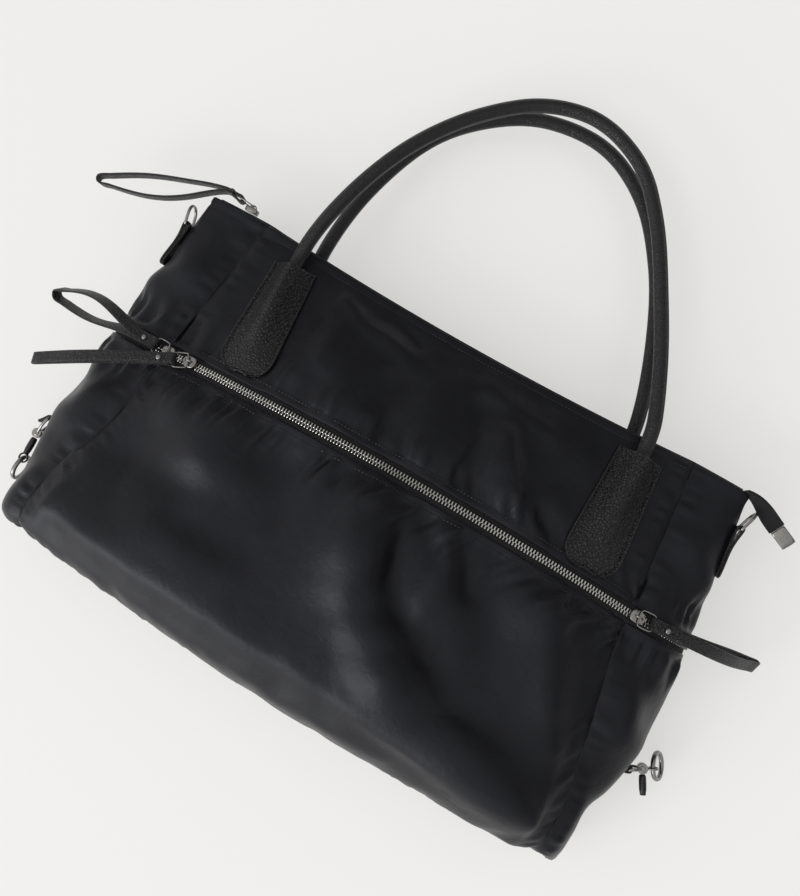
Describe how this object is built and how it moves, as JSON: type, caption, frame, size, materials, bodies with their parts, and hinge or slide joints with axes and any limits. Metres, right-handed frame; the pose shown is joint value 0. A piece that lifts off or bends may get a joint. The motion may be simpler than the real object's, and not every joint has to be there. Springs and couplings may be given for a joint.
{
  "type": "convertible backpack",
  "caption": "Black nylon convertible bag lying on its back, with rolled leather handles, zips with leather pulls, D-rings and side hooks.",
  "frame": {"origin": "under the middle of the whole bag, on the surface that its back rests on", "axes": "+X across the bag to the right as seen from the front, +Y from the base to the top opening, +Z from the back to the front"},
  "size_m": [0.6528, 0.5334, 0.113],
  "materials": {
    "nylon": "plain woven nylon, soft sheen",
    "zip_tape": "woven zip tape, matt",
    "zip_chain": "polished gunmetal teeth",
    "leather_strap": "pebbled leather, edge paint",
    "leather_patch": "pebbled leather, stitched rim",
    "leather_handle": "pebbled leather, rolled",
    "gunmetal": "polished gunmetal plating",
    "black_metal": "black, semi-gloss"
  },
  "bodies": {
    "bag": {"back_handle": "leather_handle", "back_panel": "nylon", "back_patch_left": "leather_patch", "back_patch_right": "leather_patch", "base_panel": "nylon", "front_handle": "leather_handle", "front_patch_left": "leather_patch", "front_patch_right": "leather_patch", "front_pocket_panel": "nylon", "front_upper_panel": "nylon", "front_zip_chain": "zip_chain", "front_zip_tape": "zip_tape", "left_dring_tab": "leather_strap", "left_front_pull_ring": "gunmetal", "left_front_pull_rivet": "gunmetal", "left_front_pull_strap": "leather_strap", "left_front_slider": "gunmetal", "left_gusset_pull_ring": "gunmetal", "left_gusset_pull_rivet": "gunmetal", "left_gusset_pull_strap": "leather_strap", "left_gusset_slider": "gunmetal", "left_hook_tab": "leather_strap", "left_lower_gusset": "nylon", "left_upper_gusset": "nylon", "right_dring_tab": "leather_strap", "right_hook_tab": "leather_strap", "right_lower_gusset": "nylon", "right_pull_ring": "gunmetal", "right_pull_rivet": "gunmetal", "right_pull_strap": "leather_strap", "right_slider": "gunmetal", "right_upper_gusset": "nylon", "top_pull_ring": "gunmetal", "top_pull_rivet": "gunmetal", "top_pull_strap": "leather_strap", "top_slider": "gunmetal", "top_zip_cap": "gunmetal", "top_zip_chain": "zip_chain", "top_zip_tail": "zip_tape", "top_zip_tape": "zip_tape"},
    "left_ring": {"left_dring": "gunmetal"},
    "right_ring": {"right_dring": "gunmetal"},
    "left_eye": {"left_hook_eye": "gunmetal"},
    "left_bolt": {"left_hook_bolt": "black_metal", "left_strap_ring": "gunmetal"},
    "right_eye": {"right_hook_eye": "gunmetal", "right_strap_ring": "gunmetal"},
    "right_bolt": {"right_hook_bolt": "black_metal"}
  },
  "joints": [
    {"name": "left_dring_hinge", "type": "hinge", "parent": "bag", "child": "left_ring", "pos_m": [-0.23312, 0.03432, 0.042], "axis": [0, 0, 1], "range_deg": [-5, 70]},
    {"name": "right_dring_hinge", "type": "hinge", "parent": "bag", "child": "right_ring", "pos_m": [0.26065, 0.03432, 0.042], "axis": [0, 0, 1], "range_deg": [-70, 5]},
    {"name": "left_eye_hinge", "type": "hinge", "parent": "bag", "child": "left_eye", "pos_m": [-0.25249, -0.15768, 0.038], "axis": [0, 0, 1], "range_deg": [-20, 0]},
    {"name": "left_bolt_hinge", "type": "hinge", "parent": "left_eye", "child": "left_bolt", "pos_m": [-0.25683, -0.17282, 0.038], "axis": [0, 0, 1], "range_deg": [-40, 0]},
    {"name": "right_eye_hinge", "type": "hinge", "parent": "bag", "child": "right_eye", "pos_m": [0.27832, -0.16203, 0.024], "axis": [0, 0, 1], "range_deg": [-20, 10]},
    {"name": "right_bolt_hinge", "type": "hinge", "parent": "right_eye", "child": "right_bolt", "pos_m": [0.28742, -0.15678, 0.024], "axis": [0, 0, 1], "range_deg": [-15, 20]}
  ]
}
